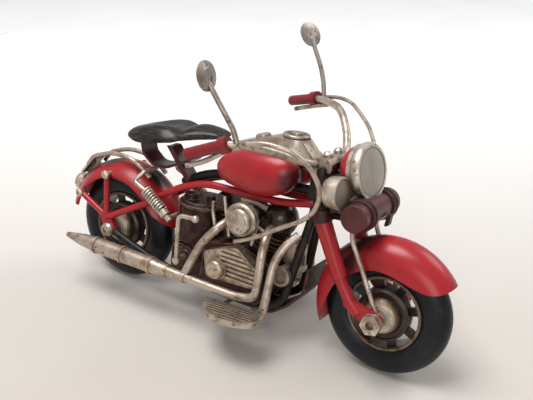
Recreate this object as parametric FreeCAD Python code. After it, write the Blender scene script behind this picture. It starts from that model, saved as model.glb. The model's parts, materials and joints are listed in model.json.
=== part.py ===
import FreeCAD, Part
import math
import os

# Decorative tin motorcycle, millimetres.
#
# Every piece is drawn on the upright motorcycle: +X forward, +Y to its left, +Z up,
# with the origin on the ground midway between the wheels. At the end the whole model
# is tipped onto its side stand and moved so that its footprint is centred on the origin.

V = FreeCAD.Vector

# ---- driving dimensions
WHEEL_R = 25.0
WHEELBASE = 128.2
CROWN_R = 5.2          # radius of the tyre's rounded tread
CROWN_DEG = 50.0       # half angle that the tread arc covers
TYRE_HALF = 5.5
BEAD_R = 14.9
RIM_IN_R = 13.5
DRUM_R = 10.3
SPOKES = 8
SPOKE_W = 3.4
SPOKE_T = 1.4
SPOKE_Y = -2.4         # outer face of the spokes, on the machine's right
SPOKE_DEG = -19.0      # turn of the first spoke from straight ahead
HUB_HALF = 9.3
AXLE_R = 1.65
RUN = 0.06             # radial clearance of every running fit
GAP = 0.3              # side clearance between a turning piece and its neighbour
TIN = 0.8              # sheet thickness
RAKE = 11.9            # steering axis leans back by this angle
LEAN = 9.5             # the model leans on its side stand by this angle
BAR_R = 1.55           # handlebar wire
TUBE_R = 1.7           # frame tubes
PIPE_R = 1.75          # exhaust tubes
LEG_Y = 12.2           # fork legs stand this far from the middle
TAB_Y = 13.1           # middle of the flattened leg ends
NUT_R = 4.04           # hexagon corner radius, 7 mm across flats
NUT_T = 3.4
STAY_Y = 12.3          # rear stays stand this far from the middle
STAY_BOLTS = ((-67.8, 49.2), (-82.8, 37.3))
MUFFLER_Y = 20.0
LEVER_Y = 18.9

FRONT = V(WHEELBASE / 2, 0, WHEEL_R)
REAR = V(-WHEELBASE / 2, 0, WHEEL_R)
LEFTWARD = V(0, 1, 0)
STEER_FOOT = V(37.4, 0, 58.5)
STEER_UP = V(-math.sin(math.radians(RAKE)), 0, math.cos(math.radians(RAKE)))
STEER_AHEAD = V(math.cos(math.radians(RAKE)), 0, math.sin(math.radians(RAKE)))
SPOT_LAMP = (V(45.4, -13.9, 69.6), V(0.985, -0.10, 0.12))
KICK_PIVOT = V(-22.2, -13.4, 24.4)
REAR_WAY = (-0.30, 0, 0.954)     # the rear cylinder leans back
FRONT_WAY = (0.44, 0, 0.898)     # the front cylinder leans forward
STAND_PIVOT = V(-9.0, 11.9, 13.2)
STAND_AXIS = V(0, math.sin(math.radians(50)), math.cos(math.radians(50)))


# ---- drawing helpers
def corner(before, at, after, bend):
    """Tangent arc at a corner as (start, middle, end); no bend gives the largest arc."""
    back = (before - at).normalize()
    ahead = (after - at).normalize()
    half = back.getAngle(ahead) / 2
    reach = 0.45 * min(before.distanceToPoint(at), at.distanceToPoint(after))
    if bend is not None:
        reach = min(reach, bend / math.tan(half))
    bisector = (back + ahead).normalize()
    middle = at + bisector * (reach / math.cos(half) - reach * math.tan(half))
    return at + back * reach, middle, at + ahead * reach


def run(points, bend=None, closed=False):
    """Straight edges through the points, with a tangent arc at each corner."""
    pts = [V(*p) for p in points]
    count = len(pts)
    turns = range(count) if closed else range(1, count - 1)
    arcs = [corner(pts[i - 1], pts[i], pts[(i + 1) % count], bend) for i in turns]
    edges = []
    here = arcs[-1][2] if closed else pts[0]
    for start, middle, end in arcs:
        edges.append(Part.makeLine(here, start))
        edges.append(Part.Arc(start, middle, end).toShape())
        here = end
    if not closed:
        edges.append(Part.makeLine(here, pts[-1]))
    return Part.Wire(edges)


def rod(points, radius, bend=None):
    """Round wire or tube bent through the points."""
    start, second = V(*points[0]), V(*points[1])
    if len(points) == 2:
        return Part.makeCylinder(radius, start.distanceToPoint(second), start, second - start)
    circle = Part.Wire(Part.makeCircle(radius, start, second - start))
    return run(points, bend).makePipeShell([circle], True, False)


def band(points, thickness, half_width, bend=None):
    """Flat strip of metal whose edge follows (x, z) points, centred across the machine."""
    path = [(x, 0, z) for x, z in points]
    start, second = V(*path[0]), V(*path[1])
    along = (second - start).normalize()
    up = along.cross(LEFTWARD) * (thickness / 2)
    side = LEFTWARD * half_width
    corners = [start + up + side, start + up - side, start - up - side, start - up + side]
    section = Part.makePolygon(corners + corners[:1])
    if len(path) == 2:
        return Part.Face(section).extrude(second - start)
    return run(path, bend).makePipeShell([section], True, False)


def outline(steps):
    """Closed wire through (u, v) steps; a step of two pairs is an arc (via, end)."""
    here = first = V(steps[0][0], 0, steps[0][1])
    edges = []
    for step in steps[1:]:
        if isinstance(step[0], tuple):
            via, end = [V(u, 0, v) for u, v in step]
            edges.append(Part.Arc(here, via, end).toShape())
        else:
            end = V(step[0], 0, step[1])
            edges.append(Part.makeLine(here, end))
        here = end
    if here.distanceToPoint(first) > 1e-6:
        edges.append(Part.makeLine(here, first))
    return Part.Wire(edges)


def lathe(profile, origin, direction):
    """Turn a (along, radius) profile about a line through origin."""
    flipped = []
    for step in profile:
        if isinstance(step[0], tuple):
            flipped.append(tuple((r, a) for a, r in step))
        else:
            flipped.append((step[1], step[0]))
    solid = Part.Face(outline(flipped)).revolve(V(0, 0, 0), V(0, 0, 1), 360)
    solid = Part.makeSolid(solid) if solid.ShapeType == "Shell" else solid
    turn = FreeCAD.Rotation(V(0, 0, 1), direction)
    return solid.transformed(FreeCAD.Placement(origin, turn).toMatrix())


def slab(points, y0, y1, bend=None):
    """Plate with an (x, z) outline between two stations across the machine."""
    path = [(x, y0, z) for x, z in points]
    wire = run(path, bend, True) if bend else Part.makePolygon([V(*p) for p in path + path[:1]])
    return Part.Face(wire).extrude(V(0, y1 - y0, 0))


def link(p, rp, q, rq, y0, y1):
    """Plate shaped like a belt around two circles at (x, z) places p and q."""
    base, tip = V(p[0], y0, p[1]), V(q[0], y0, q[1])
    line = tip - base
    along = V(line).normalize()
    across = along.cross(LEFTWARD)
    lean = (rp - rq) / line.Length
    rise = math.sqrt(1 - lean * lean)
    up, down = along * lean + across * rise, along * lean - across * rise
    edges = [Part.makeLine(base + up * rp, tip + up * rq),
             Part.Arc(tip + up * rq, tip + along * rq, tip + down * rq).toShape(),
             Part.makeLine(tip + down * rq, base + down * rp),
             Part.Arc(base + down * rp, base - along * rp, base + up * rp).toShape()]
    return Part.Face(Part.Wire(edges)).extrude(V(0, y1 - y0, 0))


def oval(centre, half_u, half_v, u_axis, v_axis, points=12):
    """Closed smooth ring about a centre."""
    ring = []
    for k in range(points):
        angle = 2 * math.pi * k / points
        ring.append(centre + u_axis * (half_u * math.cos(angle)) + v_axis * (half_v * math.sin(angle)))
    curve = Part.BSplineCurve()
    curve.interpolate(ring, PeriodicFlag=True)
    return Part.Wire(curve.toShape())


def hexagon(centre, radius, thickness, bore):
    """Hexagon nut along +Y from its centre's near face."""
    ring = []
    for k in range(6):
        angle = math.radians(60 * k + 12)
        ring.append(centre + V(radius * math.cos(angle), 0, radius * math.sin(angle)))
    solid = Part.Face(Part.makePolygon(ring + ring[:1])).extrude(V(0, thickness, 0))
    return solid.cut(Part.makeCylinder(bore, thickness, centre, LEFTWARD))


def fuse(first, *others):
    return first.multiFuse(list(others)).removeSplitter()


def left_of(shape):
    """The same piece on the machine's left side."""
    return shape.mirror(V(0, 0, 0), LEFTWARD)


def pair(*shapes):
    """Right-hand pieces together with their left-hand twins."""
    return Part.makeCompound([*shapes, *[left_of(s) for s in shapes]])


def on_steering(up, ahead=0.0, across=0.0):
    """Place measured along the steering axis from the fork crown."""
    return STEER_FOOT + STEER_UP * up + STEER_AHEAD * ahead + V(0, across, 0)


# ---- wheels
def tyre(centre):
    half = CROWN_R * math.sin(math.radians(CROWN_DEG))
    shoulder = WHEEL_R - CROWN_R * (1 - math.cos(math.radians(CROWN_DEG)))
    wall_r = BEAD_R + 4.6
    profile = [(-4.2, BEAD_R),
               ((-TYRE_HALF, wall_r), (-half, shoulder)),
               ((0, WHEEL_R), (half, shoulder)),
               ((TYRE_HALF, wall_r), (4.2, BEAD_R))]
    return lathe(profile, centre, LEFTWARD)


def rim(centre):
    """Channel rim with two rolled beads and one ring of stamped spokes."""
    pieces = [lathe([(-4.2, RIM_IN_R), (-4.2, BEAD_R), (4.2, BEAD_R), (4.2, RIM_IN_R)], centre, LEFTWARD)]
    for side in (-1, 1):
        pieces.append(Part.makeTorus(RIM_IN_R + 0.75, 0.65, centre + V(0, side * 4.4, 0), LEFTWARD))
    for k in range(SPOKES):
        spoke = Part.makeBox(RIM_IN_R - DRUM_R + 1.3, SPOKE_T, SPOKE_W,
                             centre + V(DRUM_R - 0.9, SPOKE_Y, -SPOKE_W / 2))
        pieces.append(spoke.rotate(centre, LEFTWARD, SPOKE_DEG - k * 360 / SPOKES))
    return fuse(*pieces)


def hub(centre):
    """Drum with a stepped face and a domed cap on the right, a plain boss on the left."""
    bore = AXLE_R + RUN
    profile = [(-HUB_HALF, bore), (-HUB_HALF, 3.0), ((-8.5, 5.8), (-6.9, 7.4)), (-5.6, 7.9), (-5.6, 9.0),
               (-6.3, 9.4), (-5.7, DRUM_R), (SPOKE_Y + SPOKE_T, DRUM_R), (SPOKE_Y + SPOKE_T + 0.8, 7.2),
               (4.6, 6.4), ((7.6, 5.2), (8.6, 3.0)), (HUB_HALF, 3.0), (HUB_HALF, bore)]
    return lathe(profile, centre, LEFTWARD)


def wheel(name, centre):
    return {name + "_hub": hub(centre), name + "_rim": rim(centre), name + "_tyre": tyre(centre)}


# ---- mudguards
def mudguard(centre, half_width, crown_r, shoulder_r, skirt_r, from_deg, to_deg):
    """Sheet bent round the wheel: straight skirts and a rounded crown."""
    shells = []
    for inset in (0.0, TIN):
        low, wide = skirt_r - 3 * inset, half_width - inset
        right, left = V(shoulder_r, -wide, 0), V(shoulder_r, wide, 0)
        edges = [Part.makeLine(V(low, -wide, 0), right),
                 Part.Arc(right, V(crown_r - inset, 0, 0), left).toShape(),
                 Part.makeLine(left, V(low, wide, 0)),
                 Part.makeLine(V(low, wide, 0), V(low, -wide, 0))]
        face = Part.Face(Part.Wire(edges)).translate(centre)
        spread = 0.0 if inset == 0 else 2.0
        face = face.rotate(centre, -LEFTWARD, from_deg - spread)
        shells.append(face.revolve(centre, -LEFTWARD, to_deg - from_deg + 2 * spread))
    return shells[0].cut(shells[1])


def front_mudguard():
    """Deep valance: its lower edge sweeps from the blunt nose up over the hub and down."""
    edge = [(25.0, 18.6), (20.4, 15.4), (15.9, 14.6), (9.7, 15.5), (1.9, 17.3), (-4.1, 17.6),
            (-9.3, 16.0), (-14.6, 12.5), (-19.6, 7.0), (-22.1, 0.0), (-23.7, -6.2), (-26.0, -13.5)]
    curve = Part.BSplineCurve()
    curve.interpolate([FRONT + V(x, -20, z) for x, z in edge])
    far = [(-45, -13.5), (-45, 45), (40, 45), (40, 18.6)]
    far = [FRONT + V(x, -20, z) for x, z in far]
    sides = Part.makePolygon([curve.EndPoint] + far + [curve.StartPoint])
    window = Part.Face(Part.Wire([curve.toShape()] + sides.Edges)).extrude(V(0, 40, 0))
    return mudguard(FRONT, 8.8, 29.3, 20.5, 14.0, 33, 206).common(window)


def rear_mudguard():
    """Wide guard whose front end is cut away to a point."""
    below = slab([(-45.5, 37.9), (-33.9, 29.6), (-33.9, 15), (-52, 15), (-52, 37.9)], -20, 20)
    return mudguard(REAR, 10.5, 29.5, 23.8, 22.6, 9, 168).cut(below)


# ---- front fork
def fork_bar():
    """One bent rod from the right grip through the clamp to the left grip."""
    route = [(-4.0, -40, 77.9), (12.9, -38.6, 85.3), (19.0, -28, 82.6), (24.2, -17, 78.6), (31.0, -9.5, 76.0),
             (33.2, 0, 77.2), (34.3, 9.5, 77.6), (29.9, 17, 84.4), (22.4, 25, 91.4), (8.0, 35.5, 91.9),
             (-9.0, 42, 86.9)]
    return rod(route, BAR_R)


def grip(outer, inner, radius):
    """Moulded grip with a collar at its inner end; the bar fills its bore."""
    outer, inner = V(*outer), V(*inner)
    length = outer.distanceToPoint(inner)
    profile = [(0, 0), (0, radius - 0.5), ((0.2, radius - 0.1), (0.7, radius)), (length - 3.2, radius),
               (length - 3.2, radius + 0.8), (length, radius + 0.8), (length, 0)]
    return lathe(profile, outer, inner - outer)


def mirror_disc(centre, normal):
    """Round mirror head, slightly dished at the back, facing along normal."""
    profile = [(0, 0), (0, 4.8), (0.4, 5.35), (1.0, 5.3), (1.5, 3.2), (1.7, 2.6), (1.7, 0)]
    return lathe(profile, V(*centre), V(*normal))


def handlebar_pieces():
    right_end, left_end = (-5.2, -40.1, 77.4), (-10.2, 42.45, 86.6)
    grips = [grip(right_end, (11.4, -38.75, 84.6), 2.2), grip(left_end, (5.6, 36.6, 91.3), 2.2)]
    clamp = [slab([(29.9, 72.7), (37.2, 74.3), (37.4, 77.2), (35.4, 79.0), (31.6, 78.8), (29.6, 76.6)],
                  -9.0, 9.0, 0.9)]
    for y in (-4.5, 4.5):
        clamp.append(lathe([(0, 0), (0, 1.9), (1.3, 1.9), (2.2, 1.1), (2.2, 0)], V(33.2, y, 78.6), STEER_UP))
    levers = [rod([(15.0, -37.2, 84.0), (10.1, -37.4, 81.9), (2.1, -39.2, 76.2), (-4.6, -40.4, 73.4)], 0.95),
              rod([(12.0, 33.4, 90.0), (6.3, 35.6, 88.3), (-0.6, 38.6, 86.0), (-7.2, 41.6, 83.6)], 0.95)]
    mirrors = [rod([(14.2, -37.9, 85.2), (12.2, -37.7, 89.5), (1.6, -39.6, 104.2)], 1.0),
               rod([(8.9, 35.4, 92.2), (7.7, 36.4, 97.5), (4.7, 38.0, 104.0), (-2.2, 40.0, 114.8)], 1.0),
               mirror_disc((0.2, -40, 106.2), (0.97, 0, 0.26)),
               mirror_disc((-3.9, 40.3, 116.5), (0.83, -0.30, 0.46))]
    wire = rod([(10.5, 34.8, 93.0), (18.4, 31, 94.6), (26.0, 26.5, 94.4), (33.4, 20.5, 91.6), (40.2, 14, 88.8),
                (45.8, 7, 85.0), (46.4, 5.4, 83.0)], 0.8)
    return {
        "handlebar": fork_bar(),
        "grips": Part.makeCompound(grips),
        "bar_clamp": Part.makeCompound(clamp),
        "levers": Part.makeCompound(levers),
        "mirrors": Part.makeCompound(mirrors),
        "control_wire_left": wire,
    }


def fork_sleeve():
    """Upper fork leg, a rolled sleeve that tapers a little."""
    top, low = V(37.4, -LEG_Y, 58.4), V(48.0, -LEG_Y, 37.4)
    length = top.distanceToPoint(low)
    return lathe([(0, 0), (0, 3.3), (length, 2.9), (length, 0)], top, low - top)


def collar_between(centre, y0, y1):
    """Spacer ring on an axle between two stations."""
    profile = [(0, AXLE_R), (0, 2.5), (y1 - y0, 2.5), (y1 - y0, AXLE_R)]
    return lathe(profile, centre + V(0, y0, 0), LEFTWARD)


def fork_slider():
    """Lower fork leg: tube out of the sleeve, pressed flat where the axle passes."""
    tube = rod([(44.5, -LEG_Y, 44.3), (48.6, -LEG_Y, 36.2), (53.0, -LEG_Y, 29.6), (57.4, -TAB_Y + 0.4, 25.9)], 2.35)
    tab = link((53.4, 29.0), 2.1, (FRONT.x, FRONT.z), 3.5, -TAB_Y - 0.8, -TAB_Y + 0.8)
    return fuse(tube, tab)


def roll_stay():
    """Rod from the axle up past the mudguard to the tool roll, with an eye at its foot."""
    stem = rod([(FRONT.x - 0.3, -11.3, FRONT.z + 2), (60.6, -11.2, 33.2), (55.1, -10.9, 43.4), (50.2, -10.9, 52.0),
                (49.3, -11, 58.0)], 0.9)
    eye = Part.makeCylinder(2.8, 1.8, FRONT + V(0, -12.2, 0), LEFTWARD)
    bore = Part.makeCylinder(AXLE_R, 1.8, FRONT + V(0, -12.2, 0), LEFTWARD)
    return fuse(stem, eye).cut(bore)


def steering_pieces():
    """Stem, bottom crown with its bag brackets, and the two upper fork tubes."""
    start, depth = -1.8, 4.6
    ends = [Part.makeCylinder(3.7, depth, on_steering(start, 0, side * LEG_Y), STEER_UP) for side in (-1, 1)]
    turn = FreeCAD.Rotation(LEFTWARD, -RAKE)
    beam = Part.makeBox(6.6, 2 * LEG_Y, depth)
    beam = beam.transformed(FreeCAD.Placement(on_steering(start, -3.3, -LEG_Y), turn).toMatrix())
    bracket = rod([(38, -7.5, 58.2), (46.8, -7.5, 58.6)], 1.2)
    upper = rod([tuple(on_steering(2.0, -0.4, -11.6)), tuple(on_steering(17.0, -0.4, -8.6))], 2.0)
    return {
        "steering_stem": Part.makeCylinder(AXLE_R, 18.6, on_steering(start), STEER_UP),
        "fork_crown": Part.makeCompound([fuse(beam, *ends), bracket, left_of(bracket)]),
        "upper_fork_tubes": pair(upper, spot_lamp_foot(), rod([(35.2, -9.2, 71.5), (42.6, -8.0, 74.6)], 1.1)),
    }


def spot_lamp_foot():
    face, normal = SPOT_LAMP
    cup = lathe([(-10.4, 0), (-10.4, 2.4), (-7.2, 5.6), (-7.2, 0)], face, normal)
    return fuse(cup, slab([(36.6, 62.0), (39.4, 62.0), (38.4, 70.0), (35.6, 70.0)], -13.4, -11.4))


def lamp_pieces():
    """Headlight with its double rim, and a small spot lamp at each side."""
    face, normal = V(49.9, 0, 76.2), V(0.97, -0.11, 0.23)
    rings = [lathe([(-5.4, 9.3), (-5.4, 10.3), (-3.7, 10.5), (-3.7, 9.3)], face, normal),
             lathe([(-3.4, 9.3), (-3.4, 10.6), ((-1.8, 11.0), (-0.2, 10.4)), (-0.2, 9.3)], face, normal)]
    lens = lathe([(-3.2, 0), (-3.2, 9.3), (-0.4, 9.3), ((0.25, 5.5), (0.5, 0.6)), (0.5, 0)], face, normal)
    bowl = lathe([(-11.8, 0), (-11.8, 3.4), ((-9.4, 7.9), (-5.4, 10.0)), (-3.4, 10.0), (-3.4, 8.6), (-6.0, 8.6),
                  (-9.5, 0)], face, normal)
    radius, depth = 6.2, 8.0
    shell = lathe([(-depth, 0), (-depth, 3.6), ((-0.72 * depth, 0.86 * radius), (-0.4 * depth, 0.97 * radius)),
                   (0, radius), (0, radius - TIN), (-0.4 * depth, 0.97 * radius - TIN), (-0.4 * depth, 0)],
                  *SPOT_LAMP)
    glass = lathe([(-0.4 * depth, 0), (-0.4 * depth, radius - TIN), (-0.4, radius - TIN), ((0.35, 3.2), (0.6, 0.5)), (0.6, 0)],
                  *SPOT_LAMP)
    return {
        "headlight_rings": Part.makeCompound(rings),
        "lamp_lenses": Part.makeCompound([lens, glass, left_of(glass)]),
        "headlight_bowl": bowl,
        "spot_lamps": pair(shell),
    }


def tool_roll_pieces():
    """Rolled bag across the fork, with two double straps and a buckle."""
    at, radius, half = V(51.4, 0, 62.0), 5.25, 16.0
    profile = [(-half, 0), (-half, radius - 0.7), ((-half + 0.2, radius - 0.2), (-half + 0.8, radius)),
               (half - 0.8, radius), ((half - 0.2, radius - 0.2), (half, radius - 0.7)), (half, 0)]
    straps = []
    for y in (-10.5, -7.9, 8.7, 11.3):
        ring = [(-0.95, radius), (-0.95, radius + 0.6), ((0, radius + 0.95), (0.95, radius + 0.6)), (0.95, radius)]
        straps.append(lathe(ring, at + V(0, y, 0), LEFTWARD))
    buckle = slab([(56.2, 55.6), (58.0, 56.6), (58.4, 60.6), (57.0, 61.2)], 2.6, 5.2, 0.5)
    return {"tool_roll": lathe(profile, at, LEFTWARD), "roll_straps": Part.makeCompound(straps + [buckle])}


def fork_pieces():
    axle = Part.makeCylinder(AXLE_R, 32.0, FRONT + V(0, -16, 0), LEFTWARD)
    nut = hexagon(FRONT + V(0, -TAB_Y - 0.8 - NUT_T, 0), NUT_R, NUT_T, AXLE_R)
    collar = collar_between(FRONT, -10.4, -HUB_HALF - GAP)
    guard_pin = Part.makeCylinder(1.1, 1.8, V(48.2, -9.8, 39.6), LEFTWARD)
    nodes = {"front_axle": Part.makeCompound([axle, nut, left_of(nut), collar, left_of(collar)])}
    nodes.update(handlebar_pieces())
    nodes.update(steering_pieces())
    nodes.update(lamp_pieces())
    nodes["fork_legs"] = pair(fork_sleeve(), fork_slider(), guard_pin)
    nodes.update(tool_roll_pieces())
    nodes["roll_stays"] = pair(roll_stay())
    nodes["front_mudguard"] = front_mudguard()
    return nodes


# ---- frame
def neck():
    """Head tube around the steering stem, with its gusset plate."""
    tube = Part.makeCylinder(3.1, 11.2, on_steering(3.2), STEER_UP)
    gusset = slab([(26.6, 69.6), (33, 70.4), (33.2, 62.4), (31.8, 61.0), (30.6, 56.9), (27.4, 56.4), (26.0, 62)],
                  -2.9, 2.9, 0.8)
    bore = Part.makeCylinder(AXLE_R + RUN, 30, on_steering(-5), STEER_UP)
    return fuse(tube, gusset).cut(bore)


def frame_rail():
    """Red upper rail from the neck over the engine to the rear axle plate."""
    route = [(29.5, -3.2, 59.0), (17, -6, 57.0), (-1.9, -7, 56.7), (-18.4, -8, 56.6), (-30.5, -8.8, 51.8),
             (-37.4, -9.8, 47.2), (-44.2, -STAY_Y, 42.2), (-66.9, -STAY_Y, 29.5)]
    return rod(route, 1.5)


def cradle_tube():
    """Black tube from the neck down under the engine and back to the rear axle plate."""
    route = [(30.1, -2.7, 60.2), (29.2, -3.6, 52.0), (25.6, -7, 29.4), (23.6, -8.4, 17.8), (15.5, -8.8, 12.2),
             (-10, -8.8, 12.2), (-32, -9.6, 14.2), (-48, -11.2, 18.9), (-63.0, -STAY_Y, 24.4)]
    return rod(route, TUBE_R)


def rear_stay():
    """Axle plate with one bar up and one bar back to the mudguard."""
    hinge = (-66.9, 29.9)
    plate = link(hinge, 2.8, (REAR.x, REAR.z), 3.3, -STAY_Y - 1.0, -STAY_Y + 1.0)
    up = rod([(hinge[0], -STAY_Y, hinge[1]), (STAY_BOLTS[0][0], -11.9, STAY_BOLTS[0][1])], 1.35)
    back = rod([(hinge[0], -STAY_Y, hinge[1]), (STAY_BOLTS[1][0], -11.9, STAY_BOLTS[1][1])], 1.35)
    return fuse(plate, up, back).cut(Part.makeCylinder(AXLE_R, 40, REAR + V(0, -20, 0), LEFTWARD))


def stay_bolt(x, z):
    return lathe([(0, 0), (0, 1.2), (3.0, 1.2), (3.0, 1.9), (4.0, 1.9), (4.6, 1.2), (4.6, 0)],
                 V(x, -9.6, z), -LEFTWARD)


def rear_axle_pieces():
    """Fixed axle with its collars and end rings, and the bolts that hold the stays."""
    axle = Part.makeCylinder(AXLE_R, 31.0, REAR + V(0, -15.5, 0), LEFTWARD)
    collar = collar_between(REAR, -STAY_Y + 1.0, -HUB_HALF - GAP)
    ring = lathe([(0, AXLE_R), (0, 3.1), (1.6, 3.1), (2.6, 2.5), (2.6, AXLE_R)],
                 REAR + V(0, -STAY_Y - 1.0, 0), -LEFTWARD)
    bolts = [stay_bolt(x, z) for x, z in STAY_BOLTS]
    return Part.makeCompound([axle, collar, left_of(collar), ring, left_of(ring), *bolts,
                              *[left_of(b) for b in bolts]])


def chassis_frame():
    spine = rod([(31.5, 0, 63.4), (24, 0, 62.8), (-10, 0, 60.8), (-23.2, 0, 57.9), (-34.5, 0, 51.6)], 1.9)
    tank_bridge = slab([(2, 61.5), (20, 62.5), (20, 73), (2, 73)], -2.4, 2.4)
    skid = band([(32.6, 33.6), (31.6, 23.6), (25.4, 16.0), (18.0, 10.4), (-20.0, 10.3)], 1.0, 7.6, 6.0)
    return {
        "neck": neck(),
        "rear_axle": rear_axle_pieces(),
        "rear_stays": pair(rear_stay()),
        "top_tube": Part.makeCompound([spine, tank_bridge]),
        "frame_rails": pair(frame_rail()),
        "cradle_tubes": pair(cradle_tube()),
        "skid_plate": skid,
    }


# ---- engine
def finned(base, direction, length, fin_r, core_r, fins):
    """Cylinder barrel with cooling fins, as one turned piece."""
    pitch = length / fins
    profile = [(0, 0), (0, core_r)]
    for k in range(fins):
        start = k * pitch + pitch * 0.5
        profile += [(start, core_r), (start, fin_r), (start + pitch * 0.42, fin_r), (start + pitch * 0.42, core_r)]
    profile += [(length, core_r), (length, 0)]
    return lathe(profile, V(*base), V(*direction))


def timing_cover():
    """Five-sided side cover with raised ribs and a boss."""
    shape = [(-10.8, 31.7), (4.7, 37.2), (15.8, 29.6), (14.3, 22.3), (-8.8, 20.8)]
    plate = slab(shape, -11.6, -16.2, 1.6)
    inset = slab([(-2.5, 35), (4.3, 36.4), (14.9, 29.2), (13.6, 23.0), (-2.5, 22.4)], -15.0, -17.4, 0.8)
    ribs = []
    for k in range(7):
        z = 23.2 + k * 1.9
        ribs.append(Part.makeBox(30, 1.4, 0.95, V(-12, -16.8, z)).common(inset))
    boss = Part.makeCylinder(4.7, 1.4, V(-3.4, -15.9, 26.1), -LEFTWARD)
    return fuse(plate, boss, *ribs)


def cases():
    """Crankcase, gearbox and the bored boss that holds the kick starter's shaft."""
    crank = slab([(-15.5, 13.4), (13.5, 13.6), (20.0, 21.5), (17.6, 32.0), (3.5, 37.0), (-13.5, 33.5)],
                 -11.5, 10.4, 2.5)
    gears = slab([(-31.5, 15.0), (-15.2, 14.2), (-15.2, 28.4), (-31.5, 28.0)], -10.0, 10.0, 3.0)
    boss = lathe([(0, 0), (0, 4.6), (3.2, 4.6), (3.2, 3.2), (3.8, 3.0), (3.8, AXLE_R), (0.6, AXLE_R), (0.6, 0)],
                 V(KICK_PIVOT.x, -9.8, KICK_PIVOT.z), -LEFTWARD)
    return Part.makeCompound([crank, gears, boss])


def heads():
    """Square rear head, rounded front head and the small rocker boxes."""
    rear = slab([(-13.6, 46.8), (-0.4, 48.2), (0.8, 54.2), (-11.6, 54.9)], -6.0, 6.0, 1.8)
    front = lathe([(-8.2, 0), (-8.2, 0.6), ((-5.4, 5.6), (0, 7.2)), ((5.0, 5.4), (7.4, 0.6)), (7.4, 0)],
                  V(14.6, -1.0, 48.6), V(*FRONT_WAY))
    boxes = [slab([(-12.4, 48.0), (-8.6, 48.4), (-7.8, 53.6), (-11.2, 54.2)], -8.4, -6.0),
             slab([(8.4, 45.4), (13.8, 43.0), (15.2, 46.6), (10.6, 50.2)], -9.2, -4.0)]
    return Part.makeCompound([rear, front, *boxes])


def pushrods():
    return Part.makeCompound([
        rod([(-13.4, -8.0, 50.0), (-13.4, -8.0, 46.0), (-10.3, -8.6, 36.4)], 0.75),
        rod([(-8.2, -8.0, 53.6), (-7.2, -8.0, 48.8), (-4.2, -8.6, 37.6)], 0.75),
        rod([(9.4, -9.6, 46.4), (7.4, -9.8, 37.4)], 0.7),
        rod([(7.2, -9.4, 46.6), (15.8, -9.4, 43.2)], 0.7)])


def air_cleaner():
    """Round filter on its intake throat, its cover disc and the intake pipe behind."""
    at = V(5.4, -3.0, 49.0)
    body = lathe([(0, 0), (0, 3.2), (10.0, 3.2), (11.0, 6.9), (13.6, 6.9), (14.2, 6.2), (14.2, 0)], at, -LEFTWARD)
    disc = lathe([(14.2, 0), (14.2, 5.2), (15.2, 5.2), ((15.9, 4.6), (16.1, 3.6)), (16.1, 0)], at, -LEFTWARD)
    pipe = rod([(-1.5, -4.4, 53.6), (4.6, -4.8, 54.0), (11.2, -5.4, 52.6)], 1.7)
    return Part.makeCompound([body, disc, pipe])


def generator():
    """Generator across the case with its end ring, and the filter canister over it."""
    barrel = lathe([(0, 0), (0, 3.5), (15.6, 3.5), (15.6, 0)], V(22.6, 5.0, 29.0), -LEFTWARD)
    ring = lathe([(0, 2.9), (0, 4.1), (1.4, 4.1), (1.4, 2.9)], V(22.6, -10.0, 29.0), -LEFTWARD)
    filter_can = lathe([(0, 0), (0, 4.7), (8.0, 4.7), ((9.5, 4.2), (10.2, 2.6)), (10.2, 0)],
                       V(22.4, 0, 32.0), V(0, 0, 1))
    return Part.makeCompound([barrel, ring, filter_can])


def oil_tank():
    can = lathe([(0, 0), (0, 9.2), (1.0, 10.2), (16.6, 10.2), (16.6, 10.6), (17.4, 10.6), (17.4, 10.2),
                 (18.8, 9.2), (18.8, 0)], V(-23.5, 0, 28.2), V(0, 0, 1))
    caps = [lathe([(0, 0), (0, 3.4), (2.4, 3.0), (2.8, 0)], V(-27.5, -3.5, 47.0), V(0, 0, 1)),
            lathe([(0, 0), (0, 2.2), (3.2, 1.8), (3.4, 0)], V(-18.5, -2.0, 47.0), V(0, 0, 1))]
    return Part.makeCompound([can, *caps])


def engine_pieces():
    knob = lathe([(0, 0), (0, 3.9), (1.7, 3.9), ((2.3, 3.4), (2.6, 2.6)), (2.6, 0)], V(-3.4, -17.3, 26.1), -LEFTWARD)
    return {
        "engine_cases": cases(),
        "timing_cover": Part.makeCompound([timing_cover(), knob]),
        "primary_cover": link((8.0, 25.8), 7.6, (-22.0, 24.6), 6.2, 10.4, 14.4),
        "cylinder_heads": heads(),
        "cylinders": Part.makeCompound([finned((-2.2, 0, 31.5), REAR_WAY, 17.5, 6.9, 5.2, 9),
                                        finned((6.6, 0, 31.0), FRONT_WAY, 13.5, 6.9, 5.2, 7)]),
        "pushrods": pushrods(),
        "air_cleaner": air_cleaner(),
        "generator": generator(),
        "oil_tank": oil_tank(),
    }


# ---- exhaust, guards and footboards
def muffler():
    at, backward = V(-15.0, -MUFFLER_Y, 19.0), V(-1, 0, 0)
    tube = lathe([(0, 0), (0, 1.95), (10, 2.3), (18, 3.4), (48, 3.5), (58, 2.8), (67.4, 1.2), (67.4, 0)], at, backward)
    bands = []
    for along, radius in ((1.0, 1.99), (10.2, 2.33), (18.2, 3.4), (34.2, 3.45), (49.2, 3.42)):
        bands.append(lathe([(0, radius - 0.3), (0, radius + 0.4), (1.3, radius + 0.4), (1.3, radius - 0.3)],
                           at + backward * along, backward))
    return Part.makeCompound([tube, *bands])


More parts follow.
